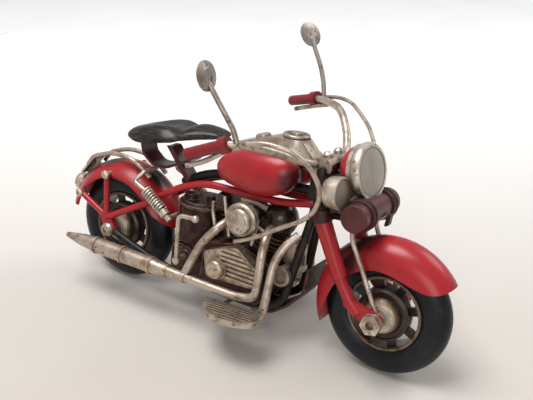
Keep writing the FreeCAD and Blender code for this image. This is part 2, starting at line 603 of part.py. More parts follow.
def footboard():
    """D-shaped tread with a turned-down edge and ribs along it, on two props."""
    inner, level, lip = -20.4, 15.4, 1.4
    start, side = V(-4.6, inner, 0), V(22.0, inner, 0)
    edges = [Part.makeLine(start, side),
             Part.Arc(side, V(24.4, -25.6, 0), V(19.0, -33.0, 0)).toShape(),
             Part.Arc(V(19.0, -33.0, 0), V(5.6, -32.6, 0), start).toShape()]
    wire = Part.Wire(edges)
    hollow = Part.Face(wire.makeOffset2D(-TIN)).extrude(V(0, 0, lip))
    board = Part.Face(wire).extrude(V(0, 0, lip + TIN)).cut(hollow)
    tread = Part.Face(wire.makeOffset2D(-1.2)).extrude(V(0, 0, 4))
    ribs = [Part.makeBox(40, 0.8, 0.9, V(-10, -33.2 + k * 1.75, lip + 0.4)).common(tread) for k in range(7)]
    tilt = FreeCAD.Placement(V(0, 0, level - lip - TIN), FreeCAD.Rotation(LEFTWARD, -4.0), V(9, 0, 0))
    return fuse(board, *ribs).transformed(tilt.toMatrix())


def exhaust_pipes():
    front = rod([(14.2, -5.5, 46.4), (15.0, -11.0, 45.6), (16.4, -16.4, 40.0), (17.2, -18.4, 29.0),
                 (17.0, -19.4, 20.6), (9.5, -19.8, 18.9), (-1.0, -19.9, 18.8), (-15.0, -MUFFLER_Y, 19.0)], PIPE_R)
    rear = rod([(-4.6, -5.5, 44.8), (-5.8, -13.0, 43.0), (-11.2, -17.0, 35.6), (-15.6, -19.4, 24.0),
                (-17.4, -19.9, 19.2)], PIPE_R)
    return Part.makeCompound([front, rear])


def guard_pieces():
    crash = rod([(27.2, -8.2, 46.9), (24.0, -11.6, 43.2), (21.2, -15.0, 36.0), (21.3, -17.6, 26.0),
                 (21.4, -19.0, 19.0), (20.2, -19.9, 13.4)], TUBE_R)
    props = [rod([(x, -8.8, 12.2), (x, -22.0, z)], 0.9) for x, z in ((2.0, 12.6), (14.0, 13.4))]
    return {
        "exhaust_pipes": exhaust_pipes(),
        "muffler": muffler(),
        "crash_bars": pair(crash),
        "footboards": pair(*props, footboard()),
    }


# ---- tank, seat and tail
def fuel_tank():
    """Near-side teardrop tank half, lofted through ovals from tail to nose."""
    stations = [(-11.4, -9.6, 66.4, 1.0, 1.2), (-9.0, -9.7, 66.5, 3.6, 4.4), (-2.0, -10.0, 67.2, 5.9, 7.4),
                (8.0, -10.2, 68.0, 7.0, 8.9), (16.5, -10.2, 69.0, 6.8, 8.3), (22.0, -10.0, 70.0, 5.0, 6.0),
                (24.4, -9.9, 70.4, 1.6, 1.9)]
    rings = [oval(V(x, y, z), hy, hz, V(0, 1, 0), V(0, 0, 1)) for x, y, z, hy, hz in stations]
    return Part.makeLoft(rings, True, False)


def console():
    """Raised spine between the tank halves that flares up to the filler."""
    spine = slab([(-10.4, 71.5), (-9.8, 74.8), (-6.0, 76.4), (0, 78.4), (8.0, 81.2), (22.0, 81.6), (27.4, 76.0),
                  (27.4, 71.5)], -3.8, 3.8, 1.4)
    rings = [oval(V(17.0, 0, z), hx, hy, V(1, 0, 0), V(0, 1, 0))
             for z, hx, hy in ((74.6, 11.4, 9.6), (77.4, 9.0, 7.6), (80.0, 6.8, 6.3), (82.3, 5.6, 5.6))]
    return fuse(spine, Part.makeLoft(rings, True, False))


def seat():
    """Saddle: broad and low at the back, narrow and raised at the nose."""
    stations = [(-60.8, 67.4, 4.0, 1.6), (-58.2, 68.2, 10.4, 3.2), (-51.5, 69.8, 14.0, 4.5),
                (-42.5, 71.2, 14.6, 5.0), (-34.0, 72.5, 12.4, 5.0), (-26.5, 73.8, 8.8, 4.4), (-19.5, 74.9, 6.4, 3.6),
                (-15.2, 75.3, 3.2, 1.8)]
    return Part.makeLoft([oval(V(x, 0, z), hy, hz, V(0, 1, 0), V(0, 0, 1)) for x, z, hy, hz in stations],
                         True, False)


def seat_frame():
    """Post on the spine tube and the curved spring strip that carries the saddle."""
    post = band([(-42.8, 68.0), (-30.4, 53.4)], 2.4, 3.2)
    strip = band([(-55.6, 66.5), (-54.2, 60.6), (-48.8, 56.6), (-41.5, 57.2), (-31.0, 62.0), (-24.5, 70.5)],
                 1.3, 4.6, 5.0)
    return Part.makeCompound([post, strip])


def tail_lamp():
    """Lamp on the back of the mudguard, with the small plate and its bracket above."""
    plate = band([(-90.6, 43.2), (-84.2, 51.6)], 0.9, 4.0)
    bracket = slab([(-88.8, 39.0), (-82.6, 46.0), (-84.4, 50.6), (-89.8, 43.8)], -1.4, 1.4)
    lamp = lathe([(0, 0), (0, 3.4), (1.6, 4.2), (3.6, 4.2), ((5.6, 3.0), (6.2, 0.6)), (6.2, 0)], V(-90.2, 0, 36.9),
                 V(-0.97, 0, 0.16))
    return Part.makeCompound([lamp, plate, bracket])


def body_pieces():
    cap = lathe([(0, 0), (0, 5.0), ((0.6, 5.4), (1.3, 5.1)), (1.3, 3.9), (0.8, 3.7), (0.8, 2.5), (1.9, 2.2), (2.1, 0)],
                V(16.8, 0, 82.3), V(0, 0, 1))
    gauge = lathe([(0, 0), (0, 3.2), (1.4, 3.0), (1.9, 2.0), (1.9, 0)], V(2.4, 0, 78.9), V(-0.3, 0, 1))
    rails = []
    for y in (-5.5, 5.5):
        rails.append(rod([(-85.2, y, 48.6), (-82.0, y, 53.2), (-70.0, y, 57.6), (-57.5, y, 56.6), (-49.0, y, 50.8)],
                         1.0))
    return {
        "console": console(),
        "filler_cap": Part.makeCompound([cap, gauge]),
        "fuel_tanks": pair(fuel_tank()),
        "seat": seat(),
        "seat_frame": seat_frame(),
        "rear_mudguard": rear_mudguard(),
        "mudguard_rails": Part.makeCompound(rails),
        "tail_lamp": tail_lamp(),
    }


def shock():
    """Close-wound spring on a rod, hooked at the top and pinned at the bottom."""
    top, low = V(-43.4, -14.9, 48.6), V(-34.2, -14.9, 42.0)
    way = low - top
    length, coils = way.Length, 9
    profile = [(0, 0), (0, 2.0)]
    for k in range(coils):
        start, pitch = k * length / coils, length / coils
        profile.append((start + pitch / 2, 2.5))
        profile.append((start + pitch, 2.0))
    profile.append((length, 0))
    coil = lathe(profile, top, way)
    sleeve = lathe([(0, 0), (0, 2.1), (2.6, 2.1), (2.6, 1.3), (5.4, 1.3), (5.4, 0)], low, way)
    hook = rod([(-42.8, -14.9, 48.2), (-50.2, -14.6, 51.0), (-47.6, -11.5, 55.0), (-45.6, -3.0, 56.6)], 0.9, 1.6)
    pin = rod([(-30.8, -15.9, 39.6), (-30.8, -6.0, 39.6)], 1.1)
    return coil, sleeve, hook, pin


def shock_pieces():
    coil, sleeve, hook, pin = shock()
    return {"shock_springs": pair(coil), "shock_rods": pair(sleeve, hook, pin)}


# ---- pieces that swing
def kick_lever():
    """Kick starter: shaft in its boss, upright arm and a ball to press."""
    shaft = Part.makeCylinder(AXLE_R - RUN, 9.0, V(KICK_PIVOT.x, -10.6, KICK_PIVOT.z), -LEFTWARD)
    arm = rod([(KICK_PIVOT.x, -LEVER_Y, KICK_PIVOT.z), (-22.4, -LEVER_Y, 44.2), (-14.2, -LEVER_Y, 44.9)], 1.0, 2.4)
    ball = Part.makeSphere(1.6, V(-13.9, -LEVER_Y - 0.3, 44.9))
    return fuse(shaft, arm, ball)


def ground_up():
    """Direction straight up from the floor, seen from the upright machine."""
    lean = math.radians(LEAN)
    return V(0, -math.sin(lean), math.cos(lean))


def height_over_floor(point):
    return point.dot(ground_up()) + CROWN_R * (1 - math.cos(math.radians(LEAN)))


def side_stand():
    """Swinging leg with a flat foot that meets the floor, its lug on the frame and its pin."""
    eye_at = STAND_PIVOT + STAND_AXIS * 2.5
    flat = STAND_AXIS.cross(V(1, 0, 0)).normalize()
    down = (flat * (1 if flat.z < 0 else -1) + V(0.1, 0, 0)).normalize()
    foot_t = 1.3
    slope = -down.dot(ground_up())
    length = (height_over_floor(eye_at) - foot_t) / slope
    foot_at = eye_at + down * length
    leg = rod([tuple(eye_at), tuple(foot_at)], 1.2)
    foot = Part.makeCylinder(2.3, foot_t, foot_at, -ground_up())
    eye = Part.makeCylinder(2.4, 2.6, eye_at - STAND_AXIS * 1.3, STAND_AXIS)
    bore = Part.makeCylinder(0.9 + RUN, 20, eye_at - STAND_AXIS * 10, STAND_AXIS)
    stand = fuse(leg, foot, eye).cut(bore)
    pin = fuse(Part.makeCylinder(0.9, 5.4, STAND_PIVOT - STAND_AXIS * 0.9, STAND_AXIS),
               Part.makeCylinder(1.8, 0.9, STAND_PIVOT + STAND_AXIS * 4.1, STAND_AXIS))
    lug = fuse(Part.makeCylinder(2.4, 1.8, STAND_PIVOT - STAND_AXIS * 0.9, STAND_AXIS),
               rod([tuple(STAND_PIVOT - STAND_AXIS * 0.2), (STAND_PIVOT.x, 8.8, 12.2)], 1.2))
    return {"stand_lug": Part.makeCompound([pin, lug]), "side_stand": stand}


# ---- flexible wire that crosses the steering
def control_wire_right():
    route = [(16.6, -36.6, 85.4), (25.0, -36.0, 87.0), (33.6, -33.0, 85.2), (38.9, -29.0, 79.9), (41.6, -26.0, 72.6),
             (39.9, -23.6, 65.0), (34.2, -21.0, 58.4), (24.0, -19.4, 51.8), (13.0, -18.4, 44.6), (3.5, -16.6, 39.8)]
    return rod(route, 0.9)


# ---- assembly
def fit_together(nodes):
    """Cut each solid by those listed before it, so that touching pieces meet face to face."""
    fitted, placed = {}, []
    for name, shape in nodes.items():
        kept = []
        for solid in shape.Solids:
            near = [other for other in placed if other.BoundBox.intersect(solid.BoundBox)]
            parts = solid.cut(near).Solids if near else [solid]
            whole = max(parts, key=lambda part: part.Volume)
            kept.append(whole)
            placed.append(whole)
        fitted[name] = kept[0] if len(kept) == 1 else Part.makeCompound(kept)
    return fitted


def all_pieces():
    nodes = {}
    nodes.update(wheel("front", FRONT))
    nodes.update(wheel("rear", REAR))
    nodes.update(fork_pieces())
    nodes.update(chassis_frame())
    nodes.update(side_stand())
    nodes.update(engine_pieces())
    nodes.update(guard_pieces())
    nodes.update(body_pieces())
    nodes.update(shock_pieces())
    nodes["kick_lever"] = kick_lever()
    nodes["control_wire_right"] = control_wire_right()
    return fit_together(nodes)


def stance(nodes):
    """Placement that tips the machine onto its stand and centres its footprint."""
    tip = FreeCAD.Placement(V(0, 0, 0), FreeCAD.Rotation(V(1, 0, 0), -LEAN))
    leaned = Part.makeCompound([s.transformed(tip.toMatrix()) for s in nodes.values()])
    box = leaned.optimalBoundingBox(False)
    lift = CROWN_R * (1 - math.cos(math.radians(LEAN)))
    shift = V(-(box.XMin + box.XMax) / 2, -(box.YMin + box.YMax) / 2, lift)
    return FreeCAD.Placement(shift, tip.Rotation)


PIECES = all_pieces()
STANCE = stance(PIECES)
os.makedirs("parts", exist_ok=True)
for name, piece in PIECES.items():
    piece.transformed(STANCE.toMatrix()).exportStep(os.path.join("parts", name + ".step"))
print(len(PIECES), "pieces")
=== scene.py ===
import bmesh
import bpy
import json
import math
from mathutils import Matrix, Vector


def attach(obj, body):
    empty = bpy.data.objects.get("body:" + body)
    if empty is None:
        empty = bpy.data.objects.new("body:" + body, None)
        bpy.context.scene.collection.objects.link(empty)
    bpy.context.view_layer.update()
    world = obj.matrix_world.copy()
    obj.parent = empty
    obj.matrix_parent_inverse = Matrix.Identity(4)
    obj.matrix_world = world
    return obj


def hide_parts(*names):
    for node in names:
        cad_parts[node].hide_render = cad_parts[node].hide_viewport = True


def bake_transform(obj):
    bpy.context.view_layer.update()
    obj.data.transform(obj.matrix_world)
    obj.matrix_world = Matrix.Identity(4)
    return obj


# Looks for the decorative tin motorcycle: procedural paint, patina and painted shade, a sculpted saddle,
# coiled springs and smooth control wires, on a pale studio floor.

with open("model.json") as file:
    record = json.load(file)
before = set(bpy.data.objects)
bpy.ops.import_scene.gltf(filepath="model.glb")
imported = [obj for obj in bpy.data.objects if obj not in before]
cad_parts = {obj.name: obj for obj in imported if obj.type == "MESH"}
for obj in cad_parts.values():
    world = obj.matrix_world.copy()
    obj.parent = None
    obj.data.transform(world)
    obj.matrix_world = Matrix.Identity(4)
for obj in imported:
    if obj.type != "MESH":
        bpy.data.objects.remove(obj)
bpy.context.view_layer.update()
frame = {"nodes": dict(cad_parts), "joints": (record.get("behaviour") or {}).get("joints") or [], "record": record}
nodes = frame["nodes"]
joints = {j["name"]: j for j in frame["joints"]}

# ---- the upright motorcycle's axes and middle, in metres, from the two wheel joints
FRONT = Vector(joints["front_wheel_spin"]["pos_m"])
REAR = Vector(joints["rear_wheel_spin"]["pos_m"])
SIDE = Vector(joints["rear_wheel_spin"]["axis"]).normalized()
AHEAD = Vector((1, 0, 0))
UP = AHEAD.cross(SIDE)
WHEEL_R = 0.025
MIDDLE = (FRONT + REAR) / 2 - UP * WHEEL_R

# ---- the camera: millimetres on the upright motorcycle's axes, degrees
CAMERA_AT = (146.695, -246.720, 148.334)
CAMERA_TURN = 29.6
CAMERA_LIFT = 18.4
CAMERA_ROLL = 6.1
LENS_MM = 50.25

AIM = (0, 0, 0.05)             # the lamps point here, metres
# painted light: the floor's colour grows paler away from the camera along this direction
PAINTED_LIGHT_AWAY = (-0.49, 0.87, 0)  # the way the floor grows paler, away from the camera

SADDLE_HALF = 14.2     # millimetres
WIRE_R = 0.0009        # metres, as are the spring's three radii
COIL_R = 0.0020
COIL_WIRE_R = 0.00058
SPRING_CORE_R = 0.0013


def bike(x, y, z):
    """A place on the upright motorcycle, given in millimetres, in the row frame."""
    return MIDDLE + (AHEAD * x + SIDE * y + UP * z) / 1000


def way(x, y, z):
    """A direction on the upright motorcycle, in the row frame."""
    return (AHEAD * x + SIDE * y + UP * z).normalized()


# ---- shader helpers
class Paint:
    """Node tree builder; places are in the row frame at rest."""

    def __init__(self, name):
        self.material = bpy.data.materials.new(name)
        self.material.use_nodes = True
        self.tree = self.material.node_tree
        self.tree.nodes.clear()
        self.place = self.add("ShaderNodeTexCoord").outputs["Object"]

    def add(self, kind, ins=None, **settings):
        node = self.tree.nodes.new(kind)
        for key, value in settings.items():
            setattr(node, key, value)
        for key, value in (ins or {}).items():
            if isinstance(value, bpy.types.NodeSocket):
                self.tree.links.new(value, node.inputs[key])
            else:
                node.inputs[key].default_value = value
        return node

    def math(self, kind, a, b=0.0, clamp=False):
        return self.add("ShaderNodeMath", {0: a, 1: b}, operation=kind, use_clamp=clamp).outputs[0]

    def vector(self, kind, a, b=None, output=0):
        ins = {0: a} if b is None else {0: a, 1: b}
        return self.add("ShaderNodeVectorMath", ins, operation=kind).outputs[output]

    def span(self, value, low, high):
        """0 at low and beyond, 1 at high and beyond; low may be the larger."""
        node = self.add("ShaderNodeMapRange", {"Value": value, "From Min": low, "From Max": high},
                        interpolation_type="SMOOTHSTEP")
        return node.outputs["Result"]

    def mix(self, factor, a, b):
        node = self.add("ShaderNodeMix", {"Factor": factor}, data_type="RGBA")
        for socket, value in (("A_Color", a), ("B_Color", b)):
            target = next(s for s in node.inputs if s.identifier == socket)
            if isinstance(value, bpy.types.NodeSocket):
                self.tree.links.new(value, target)
            else:
                target.default_value = (*value, 1)
        return next(s for s in node.outputs if s.identifier == "Result_Color")

    def wash(self, mask, amount, colour, paint):
        """Lays paint over colour where the mask is 1, as strongly as amount."""
        return self.mix(self.math("MULTIPLY", mask, amount), colour, paint)

    def noise(self, scale, detail=4.0, stretch=(1, 1, 1), shift=0.0, rough=0.55):
        """Cloudy pattern; scale counts features per metre, and a small stretch draws them out."""
        moved = {"Vector": self.place, "Location": (shift,) * 3, "Scale": stretch}
        where = self.add("ShaderNodeMapping", moved).outputs[0]
        ins = {"Vector": where, "Scale": scale, "Detail": detail, "Roughness": rough}
        return self.add("ShaderNodeTexNoise", ins).outputs["Fac"]

    def radius(self, centre, axis):
        """Distance from an axis, in millimetres."""
        arm = self.vector("SUBTRACT", self.place, centre)
        length = self.vector("LENGTH", self.vector("CROSS_PRODUCT", arm, axis), output="Value")
        return self.math("MULTIPLY", length, 1000.0)

    def along(self, centre, axis):
        """Distance along an axis from a place, in millimetres."""
        dot = self.vector("DOT_PRODUCT", self.vector("SUBTRACT", self.place, centre), axis, "Value")
        return self.math("MULTIPLY", dot, 1000.0)

    def near(self, centre, reach, noise):
        """Blotch round a place, with a ragged edge."""
        gap = self.vector("DISTANCE", self.place, centre, "Value")
        share = self.math("MULTIPLY", gap, 1000 / reach)
        ragged = self.math("ADD", share, self.math("MULTIPLY", noise, 0.9))
        return self.span(ragged, 1.65, 0.85)

    def waves(self, value, pitch):
        """0 to 1 ripple with a pitch in millimetres."""
        swing = self.math("SINE", self.math("MULTIPLY", value, 2 * math.pi / pitch))
        return self.math("ADD", self.math("MULTIPLY", swing, 0.5), 0.5)

    def shut_in(self, distance=0.003):
        """1 in corners and grooves, 0 on open faces; it masks the painted shade."""
        node = self.add("ShaderNodeAmbientOcclusion", {"Distance": distance}, samples=6)
        return self.math("SUBTRACT", 1.0, node.outputs["AO"], True)

    def edges(self, reach=0.0005):
        """1 on edges, 0 on smooth faces."""
        soft = self.add("ShaderNodeBevel", {"Radius": reach}, samples=4).outputs[0]
        face = self.add("ShaderNodeNewGeometry").outputs["Normal"]
        return self.span(self.vector("DOT_PRODUCT", soft, face, "Value"), 0.985, 0.86)

    def done(self, colour, rough, metal, bump, depth, strength, coat=0.0, gloss=0.5):
        """The finished material; bump depth is in metres."""
        relief = self.add("ShaderNodeBump", {"Height": bump, "Distance": depth, "Strength": strength})
        ins = {"Base Color": colour, "Roughness": rough, "Metallic": metal, "Coat Weight": coat,
               "Coat Roughness": 0.25, "Specular IOR Level": gloss, "Normal": relief.outputs[0]}
        shader = self.add("ShaderNodeBsdfPrincipled", ins)
        self.add("ShaderNodeOutputMaterial", {0: shader.outputs[0]})
        return self.material


def red_paint(name, base=(0.335, 0.0125, 0.017), blotches=(), blot=(0.012, 0.008, 0.008), wear_and_painted_light=0.5):
    """Aged gloss red with maroon clouds, painted shade in corners and dark specks."""
    p = Paint(name)
    clouds = p.span(p.noise(90, 4), 0.46, 0.74)
    colour = p.wash(clouds, 0.55, base, tuple(0.48 * c for c in base))
    smear = p.span(p.noise(160, 5, (0.4, 1, 1), 3.0), 0.58, 0.75)
    colour = p.wash(smear, 0.4, colour, (0.10, 0.010, 0.012))
    ragged = p.noise(240, 5, shift=7.0)
    for x, y, z, reach in blotches:
        colour = p.mix(p.near(bike(x, y, z), reach, ragged), colour, blot)
    # painted shade: near-black in corners and grooves, from ambient occlusion
    grime_and_shade = p.math("MULTIPLY", p.span(p.shut_in(), 0.25, 0.8), wear_and_painted_light)
    colour = p.mix(grime_and_shade, colour, (0.020, 0.010, 0.008))
    rim = p.math("MULTIPLY", p.edges(0.0004), p.span(p.noise(420, 3, shift=5.0), 0.42, 0.6))
    colour = p.wash(rim, 0.6, colour, (0.075, 0.012, 0.012))
    speck = p.span(p.noise(1900, 2, shift=2.0), 0.70, 0.76)
    colour = p.wash(speck, 0.5, colour, (0.03, 0.01, 0.01))
    fine = p.noise(900, 4)
    rough = p.math("ADD", p.math("MULTIPLY", clouds, 0.14), 0.30)
    return p.done(colour, rough, 0.0, fine, 0.00008, 0.25, 0.10, 0.34)


def silver(name, base=(0.55, 0.46, 0.375), grime_and_shade=(0.052, 0.024, 0.014), shade_and_dirt=0.95, stretch=(1, 1, 1),
           rings=None, stripes=None, specks=None):
    """Silver wash over brown: streaks, dark corners of painted shade and brown grime, worn bright edges, optional
    turned rings.
    """
    p = Paint(name)
    cloud = p.span(p.noise(220, 6, stretch), 0.40, 0.72)
    colour = p.wash(cloud, 0.75, base, (0.22, 0.135, 0.086))
    streak = p.span(p.noise(520, 5, stretch, 4.0), 0.56, 0.70)
    colour = p.wash(streak, 0.7, colour, grime_and_shade)
    # painted shade with brown grime: dark brown in corners and grooves, from ambient occlusion
    colour = p.wash(p.span(p.shut_in(0.0035), 0.16, 0.60), shade_and_dirt, colour, grime_and_shade)
    height = p.noise(1100, 4)
    ripple = None
    if rings:
        centre, axis, pitch = rings
        ripple = p.waves(p.radius(centre, axis), pitch)
    if stripes:
        centre, axis, pitch = stripes
        ripple = p.waves(p.along(centre, axis), pitch)
    if ripple is not None:
        colour = p.wash(p.span(ripple, 0.35, 0.0), 0.25, colour, grime_and_shade)
        height = p.math("ADD", p.math("MULTIPLY", ripple, 0.25), p.math("MULTIPLY", height, 0.5))
    colour = p.wash(p.edges(), 0.45, colour, tuple(min(1.0, 1.35 * c) for c in base))
    if specks:
        chip = p.span(p.noise(700, 2, shift=9.0), 0.69, 0.73)
        colour = p.mix(chip, colour, specks)
    rough = p.math("ADD", p.math("MULTIPLY", streak, 0.25), 0.36)
    return p.done(colour, rough, 0.72, height, 0.00012, 0.3)


def dark(name, base=(0.011, 0.009, 0.008), edge=(0.10, 0.065, 0.045), wear_and_painted_light=0.5, rough=0.42, metal=0.0,
         scale=180, stretch=(1, 1, 1), streak=(0.045, 0.026, 0.018), coat=0.05):
    """Satin black or bronze with brown clouds, rubbed edges that also carry a painted highlight, and painted shade
    in corners.
    """
    p = Paint(name)
    cloud = p.span(p.noise(scale, 6, stretch), 0.45, 0.68)
    colour = p.wash(cloud, 0.8, base, streak)
    # rubbed edges and painted highlight: the edges lightened towards the edge colour
    rub_and_highlight = p.math("MULTIPLY", p.edges(0.0006), p.span(p.noise(500, 3, shift=6.0), 0.30, 0.55))
    colour = p.wash(rub_and_highlight, wear_and_painted_light, colour, edge)
    # painted shade: near-black in corners and grooves, from ambient occlusion
    colour = p.wash(p.span(p.shut_in(0.0025), 0.3, 0.9), 0.7, colour, (0.008, 0.006, 0.005))
    shine = p.math("ADD", p.math("MULTIPLY", cloud, 0.2), rough)
    return p.done(colour, shine, metal, p.noise(800, 5), 0.00012, 0.35, coat, 0.24)


def tyre_paint(name, centre):
    """Black with a painted bluish sheen in clouds and faint moulded rings."""
    p = Paint(name)
    # painted sheen: clouds of lighter bluish black on the tyre
    cloud = p.span(p.noise(140, 5), 0.42, 0.75)
    colour = p.wash(cloud, 0.8, (0.004, 0.005, 0.007), (0.011, 0.013, 0.017))
    dust = p.span(p.noise(900, 4, shift=3.0), 0.62, 0.72)
    colour = p.wash(dust, 0.25, colour, (0.06, 0.058, 0.055))
    ring = p.waves(p.radius(centre, SIDE), 1.6)
    height = p.math("ADD", p.math("MULTIPLY", ring, 0.2), p.noise(700, 4))
    rough = p.math("ADD", p.math("MULTIPLY", cloud, 0.15), 0.36)
    return p.done(colour, rough, 0.0, height, 0.0001, 0.3, gloss=0.28)


def wheel_paint(name, centre):
    """Silver dome, brass ring, dark bronze drum with turned rings and a brass rim bead; painted shade in corners.
    """
    p = Paint(name)
    r = p.radius(centre, SIDE)
    cloud = p.span(p.noise(260, 6), 0.42, 0.70)
    dome = p.wash(cloud, 0.6, (0.52, 0.44, 0.35), (0.15, 0.095, 0.06))
    drum = p.wash(cloud, 0.7, (0.022, 0.012, 0.009), (0.075, 0.043, 0.028))
    colour = p.mix(p.span(r, 5.7, 6.1), dome, (0.20, 0.12, 0.06))
    colour = p.mix(p.span(r, 6.5, 7.0), colour, drum)
    bead = p.mix(cloud, (0.20, 0.135, 0.08), (0.06, 0.036, 0.024))
    colour = p.mix(p.span(r, 13.3, 13.8), colour, bead)
    ring = p.waves(r, 1.15)
    colour = p.wash(p.span(ring, 0.4, 0.0), 0.35, colour, (0.025, 0.016, 0.012))
    colour = p.wash(p.edges(), 0.35, colour, (0.30, 0.22, 0.14))
    # painted shade: near-black in corners and grooves, from ambient occlusion
    colour = p.wash(p.span(p.shut_in(), 0.3, 0.85), 0.7, colour, (0.016, 0.010, 0.008))
    height = p.math("ADD", ring, p.noise(900, 4))
    rough = p.math("ADD", p.math("MULTIPLY", cloud, 0.2), 0.30)
    return p.done(colour, rough, 0.35, height, 0.0001, 0.3)


def lens_paint():
    """Flat warm-grey paint with brown streaks and a brown edge."""
    p = Paint("lens_paint")
    r = p.radius(bike(49.9, 0, 76.2), way(0.97, -0.11, 0.23))
    cloud = p.span(p.noise(150, 6, (1, 1, 0.3)), 0.42, 0.72)
    colour = p.wash(cloud, 0.5, (0.34, 0.30, 0.265), (0.22, 0.185, 0.155))
    streak = p.span(p.noise(420, 5, (1, 1, 0.25), 4.0), 0.60, 0.70)
    colour = p.wash(streak, 0.3, colour, (0.16, 0.11, 0.08))
    colour = p.wash(p.span(r, 8.2, 9.2), 0.6, colour, (0.14, 0.09, 0.06))
    return p.done(colour, 0.42, 0.2, p.noise(900, 3), 0.00008, 0.2, 0.1)


# ---- paints
RED = red_paint("red_paint")
TANK = red_paint("tank_paint", (0.350, 0.0140, 0.018), [(24.5, -13, 68, 8.0)], (0.075, 0.008, 0.010), 0.5)
FRONT_GUARD = red_paint("front_guard_paint", blot=(0.040, 0.008, 0.009),
                        blotches=[(50, -2, 52, 9.0), (49, -9.5, 43, 5.0), (43, 0, 47, 9.0)])
REAR_GUARD = red_paint("rear_guard_paint",
                       blotches=[(-84, 0, 46, 10.0), (-74, 0, 53.5, 9.0), (-48, 0, 50, 6.0)])
GRIP = red_paint("grip_paint", (0.20, 0.014, 0.016), wear_and_painted_light=0.9)
SILVER = silver("silver_paint")
BRIGHT = silver("bright_silver", (0.64, 0.56, 0.47), shade_and_dirt=0.8)
PIPES = silver("pipe_silver", (0.55, 0.45, 0.36), stretch=(0.35, 1, 1))
MUFFLER = silver("muffler_silver", (0.55, 0.445, 0.35), stripes=(bike(0, 0, 0), AHEAD, 1.1),
                 specks=(0.20, 0.015, 0.015))
BOARD = silver("board_silver", (0.50, 0.43, 0.35), specks=(0.26, 0.018, 0.018))
CONSOLE = silver("console_silver", (0.48, 0.41, 0.34))
CLEANER = silver("cleaner_silver", (0.60, 0.52, 0.43), rings=(bike(5.4, 0, 49.0), SIDE, 1.3))
COVER = silver("cover_silver", (0.54, 0.435, 0.33))
MIRROR = silver("mirror_silver", (0.34, 0.305, 0.27), shade_and_dirt=0.6)
BLACK = dark("black_paint")
BRONZE = dark("engine_bronze", (0.024, 0.0105, 0.009), (0.44, 0.28, 0.18), 0.9, 0.33, 0.25,
              streak=(0.090, 0.040, 0.028))
CHROME = dark("dark_chrome", (0.055, 0.042, 0.036), (0.40, 0.30, 0.20), 0.7, 0.20, 0.75,
              streak=(0.110, 0.075, 0.055))
SKID = dark("skid_paint", (0.024, 0.018, 0.016), (0.34, 0.045, 0.04), 0.8, 0.45)
SADDLE = dark("saddle_paint", (0.007, 0.006, 0.006), (0.085, 0.060, 0.045), 0.4, 0.33, 0.0, 1400,
              (0.07, 1, 1), (0.060, 0.040, 0.030), 0.15)
ROLL = dark("roll_paint", (0.085, 0.019, 0.018), (0.17, 0.060, 0.048), 0.5, 0.38, 0.0, 180, (1, 0.4, 1),
            (0.045, 0.013, 0.012), 0.25)
STRAP = dark("strap_paint", (0.035, 0.009, 0.010), (0.12, 0.05, 0.04), 0.6, 0.40, 0.1)
STRIP = red_paint("strip_paint", (0.075, 0.010, 0.012), wear_and_painted_light=0.9)
CROWN = red_paint("crown_paint", (0.040, 0.008, 0.009), wear_and_painted_light=0.9)
LENS = lens_paint()

LOOK = {
    "front_mudguard": FRONT_GUARD, "rear_mudguard": REAR_GUARD, "fuel_tanks": TANK, "grips": GRIP,
    "muffler": MUFFLER, "exhaust_pipes": PIPES, "footboards": BOARD, "console": CONSOLE,
    "filler_cap": CONSOLE, "bar_clamp": CONSOLE,
    "air_cleaner": CLEANER, "timing_cover": COVER, "primary_cover": COVER, "mirrors": MIRROR,
    "headlight_rings": BRIGHT, "spot_lamps": BRIGHT, "front_axle": BRIGHT, "pushrods": BRIGHT,
    "shock_springs": BRIGHT, "lamp_lenses": LENS, "engine_cases": BRONZE, "cylinders": BRONZE,
    "oil_tank": BRONZE,
    "cylinder_heads": CHROME, "skid_plate": SKID, "seat_frame": STRIP, "shock_rods": SILVER,
    "fork_crown": CROWN, "tool_roll": ROLL, "roll_straps": STRAP, "seat": SADDLE,
}
BY_SLOT = {"red_paint": RED, "black_paint": BLACK, "worn_silver": SILVER, "maroon_paint": ROLL,
           "engine_bronze": BRONZE, "lamp_glass": LENS}
for end, centre in (("front", FRONT), ("rear", REAR)):
    LOOK[end + "_tyre"] = tyre_paint(end + "_tyre_paint", centre)
    LOOK[end + "_hub"] = LOOK[end + "_rim"] = wheel_paint(end + "_wheel_paint", centre)

slots = {s["node"]: s["material_slot"] for s in frame["record"]["subparts"]}
for name, piece in nodes.items():
    piece.data.materials.clear()
    piece.data.materials.append(LOOK.get(name) or BY_SLOT[slots[name]])


# ---- replacement pieces
def mesh_piece(name, bm, material, body, *replaced):
    """Smooth object from the mesh, in place of CAD nodes; without a body, it is left unattached."""
    bmesh.ops.recalc_face_normals(bm, faces=bm.faces)
    for face in bm.faces:
        face.smooth = True
    data = bpy.data.meshes.new(name)
    bm.to_mesh(data)
    bm.free()
    piece = bpy.data.objects.new(name, data)
    bpy.context.scene.collection.objects.link(piece)
    data.materials.append(material)
    if body:
        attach(piece, body)
    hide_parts(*replaced)
    return piece


def smooth_path(points, steps=8):
    """Catmull-Rom curve through the points."""
    pts = [points[0] * 2 - points[1], *points, points[-1] * 2 - points[-2]]
    path = []
    for a, b, c, d in zip(pts, pts[1:], pts[2:], pts[3:]):
        for k in range(steps):
            t = k / steps
            path.append(0.5 * (2 * b + (c - a) * t + (2 * a - 5 * b + 4 * c - d) * t * t
                               + (3 * b - a - 3 * c + d) * t ** 3))
    path.append(points[-1])
    return path


def skin(bm, rings):
    """Faces from ring to ring, and one over each end."""
    count = len(rings[0])
    for one, two in zip(rings, rings[1:]):
        for n in range(count):
            bm.faces.new((one[n], one[(n + 1) % count], two[(n + 1) % count], two[n]))
    bm.faces.new(rings[0])
    bm.faces.new(rings[-1])


